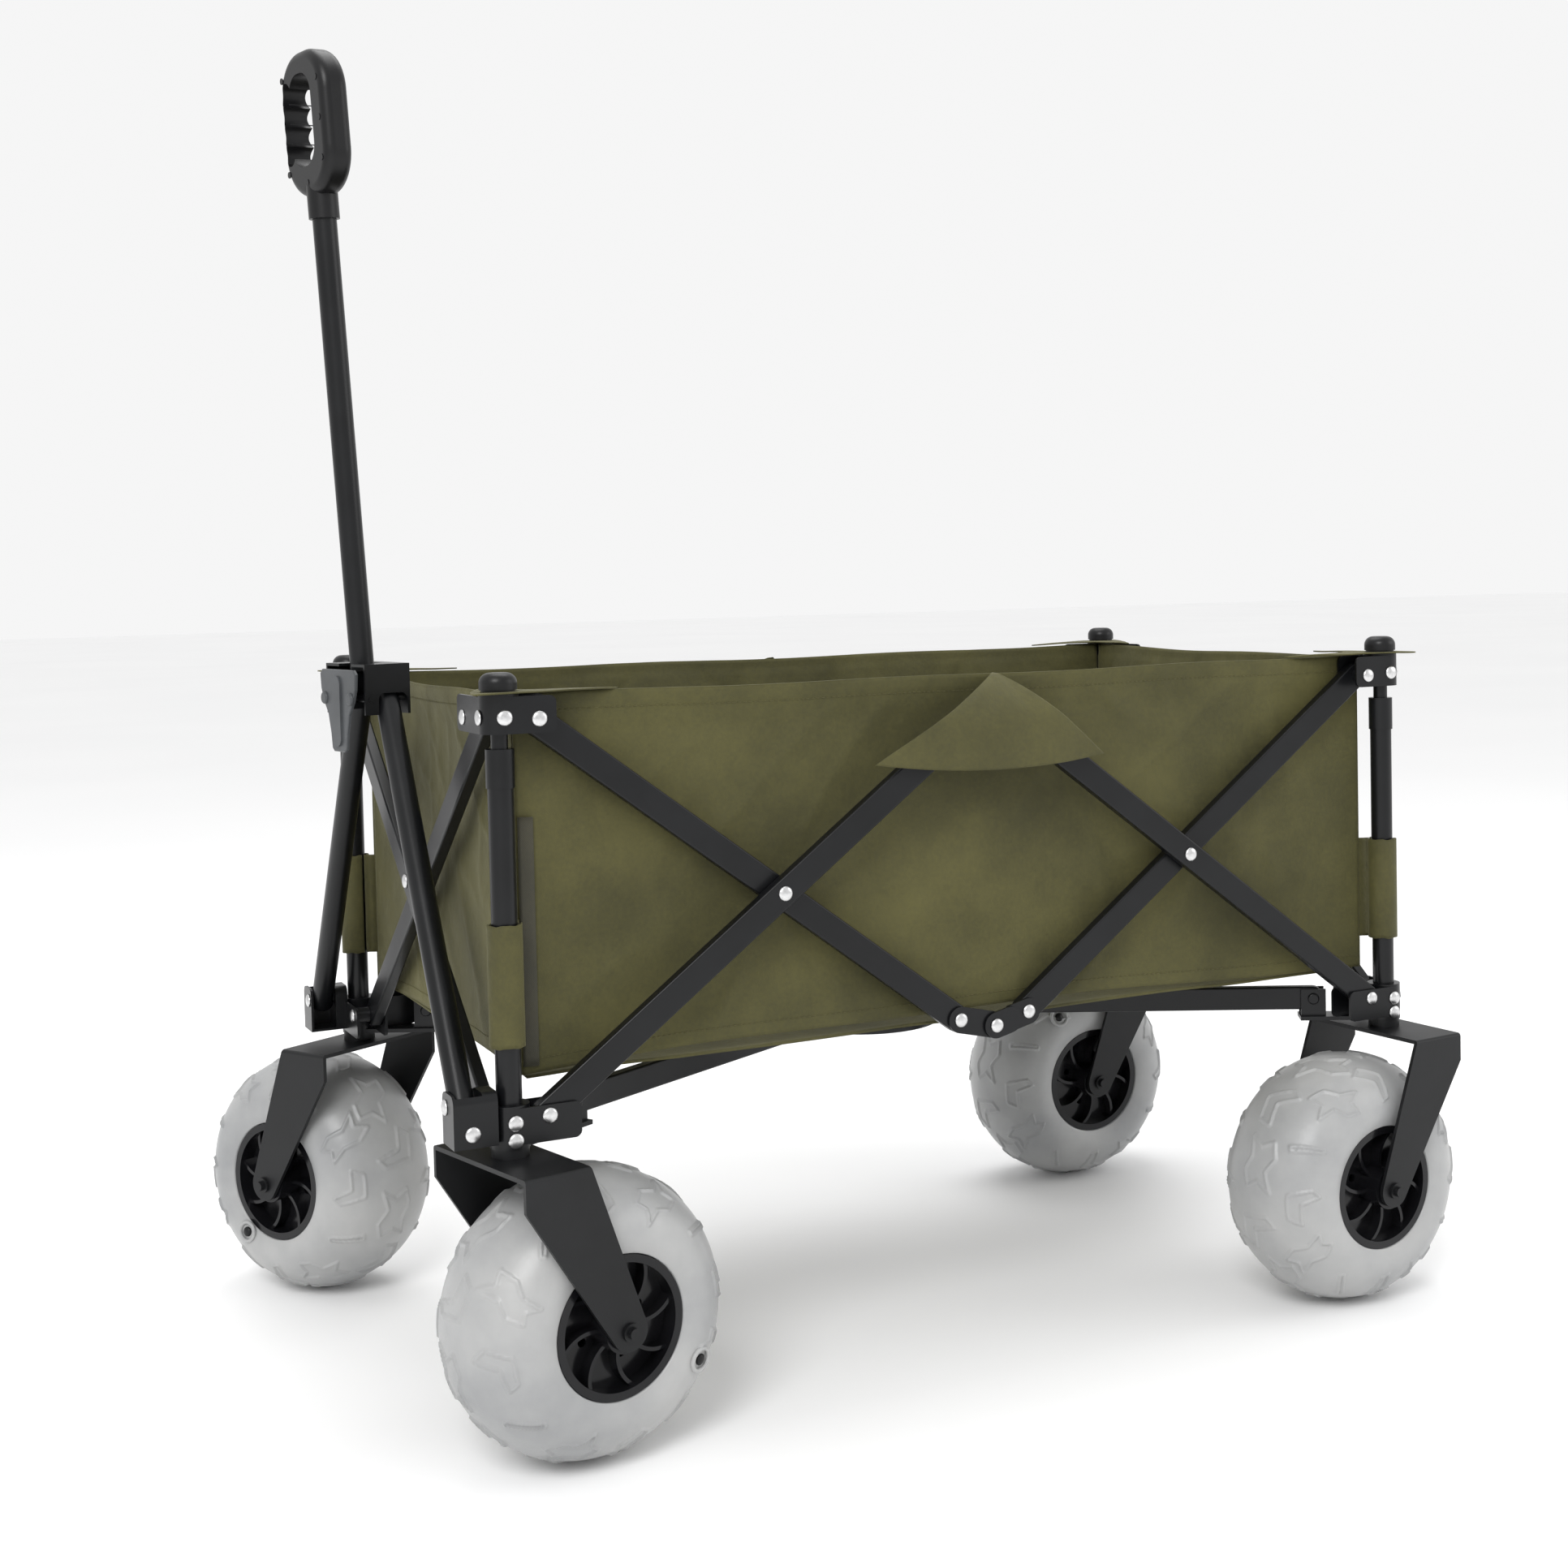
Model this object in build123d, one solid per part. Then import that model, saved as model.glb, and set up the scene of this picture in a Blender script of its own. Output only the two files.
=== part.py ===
"""Folding beach cart: a gather-fold scissor frame on four balloon-wheel casters, with a cloth basket.

Millimetres, +Z up. -X is the front (handle) end and -Y the near side. The model is laid out about the
middle of the four posts, then moved so that the origin is the bottom centre of its bounding box.
"""
from build123d import *
import os
from math import atan2, cos, degrees, hypot, radians, sin

# ---- wheels and casters
WHEEL_D = 254.0
TYRE_W = 138.0
HUB_L = 146.0
TYRE_WALL = 4.0
BEAD_R = 62.3
RIM_R = 62.0
RIM_W = 128.0
BARREL_R = 20.0
SPOKES = 8
DISH_Y = 44.0
TRAIL = 65.0
FORK_L = 158.0
FORK_W = 62.0
FORK_T = 4.0
FORK_TOP = 275.0
AXLE_R = 6.0
AXLE_Z = 127.0
PLAY = 0.06
CASTER_YAW = {"nf": 12.5, "nb": 185.0, "ff": 120.0, "fb": 182.0}

# ---- posts and scissors
POST_X = 473.0
POST_Y = 272.0
PIVOT_IN_X = 30.0
PIVOT_IN_Y = 48.5
Z_LOW = 309.0
Z_UP = 646.0
X_PIVOT = 219.5
MID_DROP = 22.0
ARM_W = 25.0
ARM_T = 12.0
ARM_WALL = 1.4
OUTER_ARM = 8.0
INNER_ARM = -5.5
KNUCKLE_X = 37.0
PIN_R = 4.0
HEAD_R = 6.0
HEAD_H = 2.4
POST_R = 11.0
POST_BORE = 9.5
POST_Z0 = 300.0
COLLAR_R = 12.25
COLLAR_Z0, COLLAR_Z1 = 588.0, 621.0
STEM_R = 7.2
STEM_Z0 = 380.0

# ---- brackets
PLATE = 2.5
WING_OUT = 17.0
WING_IN = -14.5
SIDE_WING = 58.0
END_WING = 66.0
LOW_Z0, LOW_Z1 = 283.0, 320.0
UP_Z0, UP_Z1 = 634.0, 667.5
CAP_R = 16.0
CAP_Z1 = 685.4

# ---- spider under the floor
LUG_R = 75.0
SPIDER_Z = 305.0
BAR_L = 418.0
BAR_H = 24.0
HUB_R = 75.0
HUB_Z0, HUB_Z1 = 287.5, 291.5

# ---- front legs, apex hood and handle (x is measured from the leg plane)
LEG_X = -512.0
FOOT_Y, FOOT_Z = 266.0, 322.0
LEG_TOP_Y, LEG_TOP_Z = 27.0, 655.0
LEG_R = 11.0
APEX_YAW = 12.0
TILT_X = -21.0
HOOD_SLOT = 9.5
HANDLE_X, HANDLE_Z = -12.0, 706.0
HANDLE_LEAN = 3.3
SHAFT_R = 11.0
SHAFT_LOW = -38.0
SHAFT_L = 440.0
GRIP_TOP = 547.0
GRIP_H = 132.0
GRIP_W = 92.0
GRIP_T = 27.0

# ---- basket
CLOTH = 5.0
PANEL_X = 457.0
PANEL_Y = 256.0
PANEL_Z0, PANEL_Z1 = 337.0, 666.0
FLOOR_X, FLOOR_Y, FLOOR_Z = 450.0, 250.0, 331.0
SLEEVE_IN, SLEEVE_OUT = 12.6, 13.6
SLEEVE_Z0, SLEEVE_Z1 = 368.0, 473.0
SEAM = 0.3

CORNERS = {"nf": (-1, -1), "nb": (1, -1), "ff": (-1, 1), "fb": (1, 1)}
SIDE_PIVOT = POST_X - PIVOT_IN_X
END_PIVOT = POST_Y - PIVOT_IN_Y
Z_MID = (Z_LOW + Z_UP) / 2
SLOPE = (Z_MID - Z_LOW) / (SIDE_PIVOT - X_PIVOT)
DIAGONAL = degrees(atan2(POST_Y, POST_X))


# ---------------------------------------------------------------- helpers
def block(x, y, z):
    """A box from three (low, high) pairs."""
    size = [hi - lo for lo, hi in (x, y, z)]
    mid = [(hi + lo) / 2 for lo, hi in (x, y, z)]
    return Pos(*mid) * Box(*size)


def rod(start, end, radius):
    """A round bar between two points."""
    way = Vector(*end) - Vector(*start)
    return extrude(Plane(origin=start, z_dir=way) * Circle(radius), way.length)


def tube(start, end, radius, bore):
    """A round tube between two points."""
    return rod(start, end, radius) - rod(start, end, bore)


def pin(start, end, heads=2, radius=PIN_R, head=HEAD_R):
    """A rivet shank with a low domed head beyond its start, and beyond its end too if heads is 2."""
    start, end = Vector(*start), Vector(*end)
    way = (end - start).normalized()
    shape = rod(start, end, radius)
    for point, out in ((start, way * -1), (end, way))[:heads]:
        cap = extrude(Plane(origin=point, z_dir=out) * Circle(head), HEAD_H)
        shape += fillet(cap.edges().sort_by(Axis(point, out))[-1:], HEAD_H - 0.5)
    return shape


def xz_plane(y):
    """The drawing plane of a long side: x is +X and y is +Z."""
    return Plane(origin=(0, y, 0), x_dir=(1, 0, 0), z_dir=(0, -1, 0))


def yz_plane(x):
    """The drawing plane of a short end: x is +Y and y is +Z."""
    return Plane(origin=(x, 0, 0), x_dir=(0, 1, 0), z_dir=(1, 0, 0))


def strip(start, end, width):
    """A flat round-ended strip between two points of a plane."""
    (x0, y0), (x1, y1) = start, end
    turn = degrees(atan2(y1 - y0, x1 - x0))
    return Pos((x0 + x1) / 2, (y0 + y1) / 2) * Rot(0, 0, turn) * SlotCenterToCenter(hypot(x1 - x0, y1 - y0), width)


def slab(plane, face, depth):
    """A flat shape given a thickness, half on each side of its plane."""
    return extrude(plane * face, depth / 2, both=True)


def hollow_bar(plane, start, end, holes, width=ARM_W):
    """A hollow flat-sided bar with round ends and a bore for each of its pins."""
    bar = slab(plane, strip(start, end, width), ARM_T)
    bar = fillet(bar.edges().filter_by(lambda e: e.length > width), 2.0)
    bar -= slab(plane, strip(start, end, width - 2 * ARM_WALL), ARM_T - 2 * ARM_WALL)
    for (x, y), radius in holes:
        bar -= slab(plane, Pos(x, y) * Circle(radius), ARM_T + 2)
    return bar


def group(*shapes):
    """Several separate solids kept as one node."""
    return Compound([solid for shape in shapes for solid in shape.solids()])


# ---------------------------------------------------------------- scissor arms
def knuckle(face, side, joint, tip, over):
    """The hinge plate from an arm's middle end to the shared middle pivot; one of each pair steps over."""
    lift = PLATE + 0.3
    if not over:
        flat = strip(joint, tip, ARM_W) - Pos(*tip) * Circle(PIN_R) - Pos(*joint) * Circle(PIN_R)
        return slab(xz_plane(face + side * PLATE / 2), flat, PLATE)
    bend = (joint[0] * 0.40, tip[1] + (joint[1] - tip[1]) * 0.40)
    low = strip(joint, tip, ARM_W) - Pos(*joint) * Circle(PIN_R) - Pos(*tip) * Circle(20)
    high = strip(bend, tip, ARM_W) - Pos(*tip) * Circle(PIN_R + PLAY)
    plate = slab(xz_plane(face + side * PLATE / 2), low, PLATE)
    return plate + slab(xz_plane(face + side * (lift + PLATE / 2)), high, PLATE) + step_web(face, side, bend, lift)


def step_web(face, side, bend, lift):
    """The short wall that joins the two levels of a stepped hinge plate."""
    web = Pos(bend[0] * 1.28, bend[1]) * Rectangle(4, ARM_W * 0.72)
    return slab(xz_plane(face + side * (PLATE + lift) / 2), web, PLATE + lift)


def side_arms(side_name, side):
    """The outer and inner arm of both halves of one long side, each with its rivets."""
    arms = {}
    y_out = side * (POST_Y + OUTER_ARM)
    y_in = side * (POST_Y + INNER_ARM)
    half = side * ARM_T / 2
    rise = (SIDE_PIVOT - KNUCKLE_X) * SLOPE
    loose = PIN_R + PLAY
    for end_name, end in (("f", -1), ("b", 1)):
        over = end > 0
        cross = (end * X_PIVOT, Z_MID)
        low, top = (end * SIDE_PIVOT, Z_LOW), (end * SIDE_PIVOT, Z_UP)
        high_joint, low_joint = (end * KNUCKLE_X, Z_LOW + rise), (end * KNUCKLE_X, Z_UP - rise)
        high_tip, low_tip = (0, Z_UP - MID_DROP), (0, Z_LOW + MID_DROP)

        bar = hollow_bar(xz_plane(y_out), low, high_joint, [(low, loose), (cross, PIN_R), (high_joint, PIN_R)])
        plate = knuckle(y_out + half, side, high_joint, high_tip, over)
        pins = [pin((cross[0], y_out + half, Z_MID), (cross[0], y_in - half, Z_MID))]
        pins += joint_pins(y_out, half, side, high_joint, high_tip, over)
        arms["side_arm_outer_" + side_name + end_name] = group(bar, plate, *pins)

        bar = hollow_bar(xz_plane(y_in), top, low_joint, [(top, loose), (cross, loose), (low_joint, PIN_R)])
        plate = knuckle(y_in + half, side, low_joint, low_tip, over)
        pins = joint_pins(y_in, half, side, low_joint, low_tip, over)
        arms["side_arm_inner_" + side_name + end_name] = group(bar, plate, *pins)
    return arms


def joint_pins(y, half, side, joint, tip, over):
    """The rivet that holds a hinge plate to its arm and, on the front arm, the middle pivot itself."""
    face = y + half
    pins = [pin((joint[0], face + side * PLATE, joint[1]), (joint[0], y - half, joint[1]))]
    if not over:
        top = face + side * (2 * PLATE + 0.5)
        pins.append(pin((tip[0], top, tip[1]), (tip[0], face, tip[1]), head=HEAD_R))
    return pins


def end_arms(end_name, end):
    """The crossed pair of arms on one short end."""
    loose = PIN_R + PLAY
    x_out = end * (POST_X + OUTER_ARM)
    x_in = end * (POST_X + INNER_ARM)
    half = end * ARM_T / 2
    low, high, cross = (-END_PIVOT, Z_LOW), (END_PIVOT, Z_UP), (0, Z_MID)
    outer = hollow_bar(yz_plane(x_out), low, high, [(low, loose), (high, loose), (cross, PIN_R)])
    rivet = pin((x_out + half, 0, Z_MID), (x_in - half, 0, Z_MID))
    low, high = (END_PIVOT, Z_LOW), (-END_PIVOT, Z_UP)
    inner = hollow_bar(yz_plane(x_in), low, high, [(low, loose), (high, loose), (cross, loose)])
    return {"end_arm_outer_" + end_name: group(outer, rivet), "end_arm_inner_" + end_name: inner}


# ---------------------------------------------------------------- corner brackets
def swap(shape):
    """Turn a side wing into an end wing."""
    return mirror(shape, about=Plane(origin=(0, 0, 0), z_dir=(1, -1, 0)))


def place(shape, corner):
    """Move a shape drawn about the near front post to one of the four corners."""
    sx, sy = CORNERS[corner]
    if sx > 0:
        shape = mirror(shape, about=Plane.YZ)
    if sy > 0:
        shape = mirror(shape, about=Plane.XZ)
    return Pos(sx * POST_X, sy * POST_Y, 0) * shape


def wing(length, z0, z1, pin_at, pin_z, arm):
    """A pair of plates along +X with a pivot rivet and the spacer bushes beside the arm."""
    outline = Pos(length / 2, (z0 + z1) / 2) * Rectangle(length, z1 - z0)
    outline = fillet(outline.vertices().group_by(Axis.X)[-1], 6)
    outline -= Pos(pin_at, pin_z) * Circle(PIN_R)
    plates = slab(xz_plane(PLATE / 2 - WING_OUT), outline, PLATE)
    plates += slab(xz_plane(-WING_IN - PLATE / 2), outline, PLATE)
    rivet = pin((pin_at, -WING_OUT, pin_z), (pin_at, -WING_IN, pin_z), heads=1)
    gaps = ((WING_IN + PLATE, arm - ARM_T / 2 - 0.3), (arm + ARM_T / 2 + 0.3, WING_OUT - PLATE))
    bushes = [tube((pin_at, -lo, pin_z), (pin_at, -hi, pin_z), HEAD_R + 2, PIN_R) for lo, hi in gaps if hi - lo > 1]
    return plates, [rivet] + bushes


def post_pins(z_list):
    """Blind rivets through the outer faces of a bracket into its post."""
    pins = [pin((0, -WING_OUT, z), (0, 1 - WING_OUT, z), heads=1, radius=3) for z in z_list]
    return pins + [swap(pins[0])]


def lower_bracket(corner):
    """The lower corner casting with its wings, spider lugs, caster bore and, in front, the leg clevis."""
    core = rod((0, 0, LOW_Z0), (0, 0, LOW_Z1), WING_OUT)
    side_arm = OUTER_ARM
    end_arm = OUTER_ARM if corner[0] == "n" else INNER_ARM
    side, side_pins = wing(SIDE_WING, LOW_Z0 + 4, LOW_Z1 - 2, PIVOT_IN_X, Z_LOW, side_arm)
    end, end_pins = wing(END_WING, LOW_Z0 + 4, LOW_Z1 - 2, PIVOT_IN_Y, Z_LOW, end_arm)
    body = core + side + swap(end)
    body -= rod((0, 0, POST_Z0), (0, 0, LOW_Z1), POST_R)
    body -= rod((0, 0, LOW_Z0), (0, 0, POST_Z0), AXLE_R + PLAY)
    body += spider_lugs()
    extras = side_pins + [swap(p) for p in end_pins] + post_pins((306, 291)) + [lug_pin()]
    if corner[1] == "f":
        body += leg_clevis()
        extras += clevis_pins()
    return place(group(body, *extras), corner)


def spider_lugs():
    """The tongue under the wings and the two upright lugs that hold a spider bar."""
    tongue = block((8, LUG_R + 14), (-14, 14), (LOW_Z0, LOW_Z0 + 4))
    ears = block((LUG_R - 13, LUG_R + 13), (-9, -6.5), (LOW_Z0, SPIDER_Z + 10))
    ears += mirror(ears, about=Plane.XZ)
    ears -= rod((LUG_R, -10, SPIDER_Z), (LUG_R, 10, SPIDER_Z), PIN_R)
    return Rot(0, 0, DIAGONAL) * (tongue + ears) - rod((0, 0, LOW_Z0), (0, 0, LOW_Z1), WING_OUT - 1)


def lug_pin():
    """The pivot of a spider bar."""
    return Rot(0, 0, DIAGONAL) * pin((LUG_R, -9, SPIDER_Z), (LUG_R, 9, SPIDER_Z))


def leg_clevis():
    """The upright channel on a front bracket that holds the foot of a handle leg."""
    x = LEG_X + POST_X
    y = POST_Y - FOOT_Y
    box = block((x - 14, -WING_OUT + 2), (-18, 16), (LOW_Z0 + 7, FOOT_Z + 13))
    box = fillet(box.edges().filter_by(Axis.X).sort_by(Axis.Z)[-2:], 8)
    box -= block((x - 11.5, x + 11.5), (-15.5, 20), (LOW_Z0 + 9.5, FOOT_Z + 20))
    return box - rod((x - 20, y, FOOT_Z), (x + 22, y, FOOT_Z), PIN_R)


def clevis_pins():
    """The leg pivot across the channel and the two blind rivets in its outer wall."""
    x = LEG_X + POST_X
    y = POST_Y - FOOT_Y
    pivot = pin((x - 14, y, FOOT_Z), (x + 20, y, FOOT_Z), heads=1)
    fixing = pin((x + 2, -18, LOW_Z0 + 19), (x + 2, -16.5, LOW_Z0 + 19), heads=1, radius=3)
    return [pivot, fixing]


def upper_bracket(corner):
    """The upper corner bracket with its wings, rivets and the stem that slides in the post."""
    core = rod((0, 0, UP_Z0), (0, 0, UP_Z1), WING_OUT)
    end_arm = INNER_ARM if corner[0] == "n" else OUTER_ARM
    side, side_pins = wing(SIDE_WING - 13, UP_Z0, UP_Z1 - 2, PIVOT_IN_X, Z_UP, INNER_ARM)
    end, end_pins = wing(END_WING, UP_Z0, UP_Z1 - 2, PIVOT_IN_Y, Z_UP, end_arm)
    body = core + side + swap(end) - rod((0, 0, UP_Z0), (0, 0, UP_Z1), STEM_R)
    stem = tube((0, 0, STEM_Z0), (0, 0, UP_Z1), STEM_R, STEM_R - ARM_WALL)
    extras = side_pins + [swap(p) for p in end_pins] + post_pins((Z_UP + 2,))
    return place(group(body, stem, *extras), corner)


def post(corner):
    """The lower post tube with the collar that guides the sliding stem."""
    shape = tube((0, 0, POST_Z0), (0, 0, COLLAR_Z1 - 20), POST_R, POST_BORE)
    shape += tube((0, 0, COLLAR_Z0), (0, 0, COLLAR_Z1 - 20), COLLAR_R, POST_BORE)
    shape += tube((0, 0, COLLAR_Z1 - 20), (0, 0, COLLAR_Z1), COLLAR_R, STEM_R + PLAY)
    return place(shape, corner)


def cap(corner):
    """The domed plastic cap on top of a post."""
    lip = rod((0, 0, UP_Z1 + 0.1), (0, 0, UP_Z1 + 3.5), CAP_R - 1.5)
    dome = extrude(Plane.XY.offset(UP_Z1 + 3.5) * Circle(CAP_R), CAP_Z1 - UP_Z1 - 3.5)
    dome = fillet(dome.edges().sort_by(Axis.Z)[-1:], 9)
    return place(lip + dome, corner)


# ---------------------------------------------------------------- spider
def spider_bar(corner):
    """A flat bar from a lower bracket to the middle hub."""
    plane = Plane(origin=(0, 0, 0), x_dir=(1, 0, 0), z_dir=(0, -1, 0))
    start, end = (LUG_R, SPIDER_Z), (LUG_R + BAR_L, SPIDER_Z)
    bar = hollow_bar(plane, start, end, [(start, PIN_R + PLAY), (end, PIN_R)], BAR_H)
    tip = tube((end[0], -ARM_T / 2, SPIDER_Z), (end[0], ARM_T / 2, SPIDER_Z), PIN_R, PIN_R - 1.5)
    return place(Rot(0, 0, DIAGONAL) * group(bar, tip), corner)


def spider_hub():
    """The round plate that the four bars meet over, with low guides beside each tip."""
    hub = extrude(Plane.XY.offset(HUB_Z0) * Circle(HUB_R), HUB_Z1 - HUB_Z0)
    hub += rod((0, 0, HUB_Z0), (0, 0, SPIDER_Z + BAR_H / 2), 12)
    guide = block((42, 66), (9, 11.5), (HUB_Z1, HUB_Z1 + 7))
    guide += mirror(guide, about=Plane.XZ)
    for turn in (DIAGONAL, 180 - DIAGONAL, 180 + DIAGONAL, -DIAGONAL):
        hub += Rot(0, 0, turn) * guide
    return hub


# ---------------------------------------------------------------- casters
def at_caster(shape, corner):
    """Move a shape drawn about the swivel axis, trailing along +X, to its corner and rest heading."""
    sx, sy = CORNERS[corner]
    return Pos(sx * POST_X, sy * POST_Y, 0) * Rot(0, 0, CASTER_YAW[corner]) * shape


def fork(corner):
    """A caster fork: the top plate and its two legs, the kingpin, the bearing and the axle with its end studs."""
    outline = make_hull((Pos(0, FORK_TOP - 14) * Rectangle(FORK_W, 28)).edges() + (
        Pos(TRAIL, AXLE_Z) * Circle(17)).edges())
    ends = FORK_L / 2
    plate = block((-FORK_W / 2, FORK_W / 2), (FORK_T - ends, ends - FORK_T), (FORK_TOP - FORK_T, FORK_TOP))
    plate -= rod((0, 0, FORK_TOP - 10), (0, 0, FORK_TOP + 10), AXLE_R)
    kingpin = rod((0, 0, FORK_TOP - 8), (0, 0, POST_Z0 - 2), AXLE_R)
    kingpin += extrude(Plane.XY.offset(FORK_TOP - FORK_T - 6) * RegularPolygon(10, 6), 6)
    bearing = tube((0, 0, FORK_TOP), (0, 0, LOW_Z0 - 0.2), 16, AXLE_R)
    axle = rod((TRAIL, FORK_T - ends, AXLE_Z), (TRAIL, ends - FORK_T, AXLE_Z), AXLE_R)
    solids = [plate, kingpin, bearing, axle]
    for side in (-1, 1):
        leg = slab(xz_plane(side * (FORK_L - FORK_T) / 2), outline, FORK_T)
        solids.append(fillet(leg.edges().filter_by(Axis.X).sort_by(Axis((0, 0, 0), (0, side, 1)))[-1:], 3.5))
        solids.append(rod((TRAIL, side * ends, AXLE_Z), (TRAIL, side * (ends + 3), AXLE_Z), 8))
        solids.append(rod((TRAIL, side * (ends + 3), AXLE_Z), (TRAIL, side * (ends + 8), AXLE_Z), 5))
    return at_caster(group(*solids), corner)


def spoke(turn):
    """One curved rib, drawn flat about the axle."""
    start, end = (BARREL_R - 2, 0), (RIM_R - 8, 14)
    middle = ((start[0] + end[0]) / 2 + 3, 1.5)
    return Rot(0, 0, turn) * trace(ThreePointArc(start, middle, end), 3.4)


def wheel_hub(corner):
    """The plastic rim with its barrel, two drained dishes with curved ribs on them, and the tyre's valve."""
    flat = Plane(origin=(TRAIL, 0, AXLE_Z), x_dir=(1, 0, 0), z_dir=(0, -1, 0))
    hub = slab(flat, Circle(RIM_R) - Circle(RIM_R - 7), RIM_W)
    hub += slab(flat, Circle(BARREL_R) - Circle(AXLE_R + PLAY), HUB_L)
    dish = Circle(RIM_R - 4) - Circle(BARREL_R - 4)
    for index in range(4):
        dish -= Rot(0, 0, 20 + index * 90) * Pos(BARREL_R + 10, 0) * Circle(4)
    ribs = Sketch() + [spoke(index * 360 / SPOKES) for index in range(SPOKES)]
    for side in (-1, 1):
        hub += slab(flat.offset(side * DISH_Y), dish, 4)
        hub += extrude(flat.offset(side * (DISH_Y + 1)) * ribs, side * (RIM_W / 2 - 6 - DISH_Y))
    valve = rod((TRAIL, 12, AXLE_Z + RIM_R - 9), (TRAIL, 12, AXLE_Z + RIM_R + 10), 3)
    return at_caster(group(hub + valve), corner)


def tyre(corner):
    """A hollow balloon tyre: an oval section turned about the axle, open at its valve."""
    radius = (WHEEL_D / 2 + 27) / 2
    section = Pos(radius, 0) * Ellipse(WHEEL_D / 2 - radius, TYRE_W / 2)
    inner = Pos(radius, 0) * Ellipse(WHEEL_D / 2 - radius - TYRE_WALL, TYRE_W / 2 - TYRE_WALL)
    inner -= Pos(0, 0) * Rectangle(2 * (BEAD_R + TYRE_WALL), 2 * TYRE_W)
    section = section - Rectangle(2 * BEAD_R, 2 * TYRE_W) - inner
    ring = revolve(Plane.XY * section, Axis.Y)
    ring -= rod((0, 12, 0), (0, 12, BEAD_R + 8), 3 + PLAY)
    return at_caster(Pos(TRAIL, 0, AXLE_Z) * ring, corner)


# ---------------------------------------------------------------- legs, hood, handle
def apex(shape):
    """Move a shape drawn about the top of the legs to its place, turned a little toward the near side."""
    return Pos(LEG_X, 0, 0) * Rot(0, 0, APEX_YAW) * shape


def leg_top(side):
    """Where the hinge of a leg's top sits."""
    turn = radians(APEX_YAW)
    return (LEG_X - side * LEG_TOP_Y * sin(turn), side * LEG_TOP_Y * cos(turn), LEG_TOP_Z)


def leg_pin(side):
    """The pivot along +X at the top of a leg; it reaches past the back of the turned hood."""
    x, y, z = leg_top(side)
    shape = pin((x + 18.7, y, z), (x - 12.9, y, z), heads=1)
    return shape + rod((x - 12.9, y, z), (x - 14.2, y, z), HEAD_R)


def leg(side):
    """A round leg from its foot pivot to the apex; the far one carries its own top pin."""
    foot = Vector(LEG_X, side * FOOT_Y, FOOT_Z)
    top = Vector(*leg_top(side))
    way = (top - foot).normalized()
    shape = rod(tuple(foot - way * 9), tuple(top + way * 5), LEG_R)
    shape = fillet(shape.edges().filter_by(GeomType.CIRCLE), 3)
    shape -= rod(tuple(foot + way * 16), tuple(top - way * 16), LEG_R - 1.5)
    shape -= rod((foot.X - 20, foot.Y, foot.Z), (foot.X + 20, foot.Y, foot.Z), PIN_R + PLAY)
    loose = PLAY if side < 0 else 0
    shape -= rod((top.X - 30, top.Y, top.Z), (top.X + 30, top.Y, top.Z), PIN_R + loose)
    return shape if side < 0 else group(shape, leg_pin(side))


def apex_hood():
    """The folded plate over the leg tops: the near leg's pin, a slot for the far leg's, and the handle's pin holes."""
    hood = block((14.5, 17), (-41, 41), (640, 687)) + block((-28, 17), (-41, 41), (684.5, 687))
    side = Pos(-5.5, 663.5) * Rectangle(45, 47) - Pos(TILT_X, LEG_TOP_Z) * Circle(3.5 + PLAY)
    for y, arch in ((-39.75, (645, 30)), (39.75, (651, 42))):
        hood += slab(xz_plane(y), side - Pos(0, arch[0]) * RectangleRounded(29, arch[1], 6), PLATE)
    hood -= block((-34, 3), (-13, 13), (680, 690))
    hood = apex(hood)
    x, y, z = leg_top(-1)
    hood -= rod((x, y, z), (x + 25, y, z), PIN_R)
    x, y, z = leg_top(1)
    slot = strip((y - 1.2, z), (y + HOOD_SLOT, z), 2 * PIN_R + 1.6)
    hood -= extrude(yz_plane(x) * slot, 25)
    return group(hood, leg_pin(-1))


def lean(shape):
    """Tip a shape drawn about an upright shaft to the handle's resting lean."""
    return Pos(HANDLE_X, 0, HANDLE_Z) * Rot(0, -HANDLE_LEAN, 0) * shape


def shield():
    """The pressed plate on the front of the handle, with a raised rib and two rivets."""
    half = [(0, 682), (33, 682), (37.5, 678), (36, 664), (31, 652), (22, 640), (17, 622), (15, 608), (11, 605)]
    points = half + [(-x, z) for x, z in reversed(half[1:])]
    face = make_face(Polyline(*points, close=True))
    plate = extrude(yz_plane(-36) * face, 3)
    plate = fillet(plate.edges().group_by(Axis.X)[0], 1.2)
    rib = strip((0, 618), (0, 668), 16)
    plate += extrude(yz_plane(-38) * rib, 3)
    plate -= extrude(yz_plane(-34.8) * strip((0, 618), (0, 668), 11), 3)
    pins = [pin((-36, y, LEG_TOP_Z), (-33, y, LEG_TOP_Z), heads=1, radius=3) for y in (-27, 27)]
    return apex(group(plate, *pins))


def handle_shaft():
    """The handle tube, the saddle block behind the shield, the stub pins it tilts on and the grip socket."""
    bar = lean(tube((0, 0, SHAFT_LOW), (0, 0, SHAFT_L - 40), SHAFT_R, SHAFT_R - 1.5))
    saddle = block((-32.9, -14.5), (-12.5, 12.5), (645, 680))
    saddle += rod((TILT_X, -41.5, LEG_TOP_Z), (TILT_X, 41.5, LEG_TOP_Z), 3.5)
    saddle -= lean(rod((0, 0, SHAFT_LOW - 1), (0, 0, 0), SHAFT_R - 0.5))
    return apex(bar + saddle)


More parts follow.
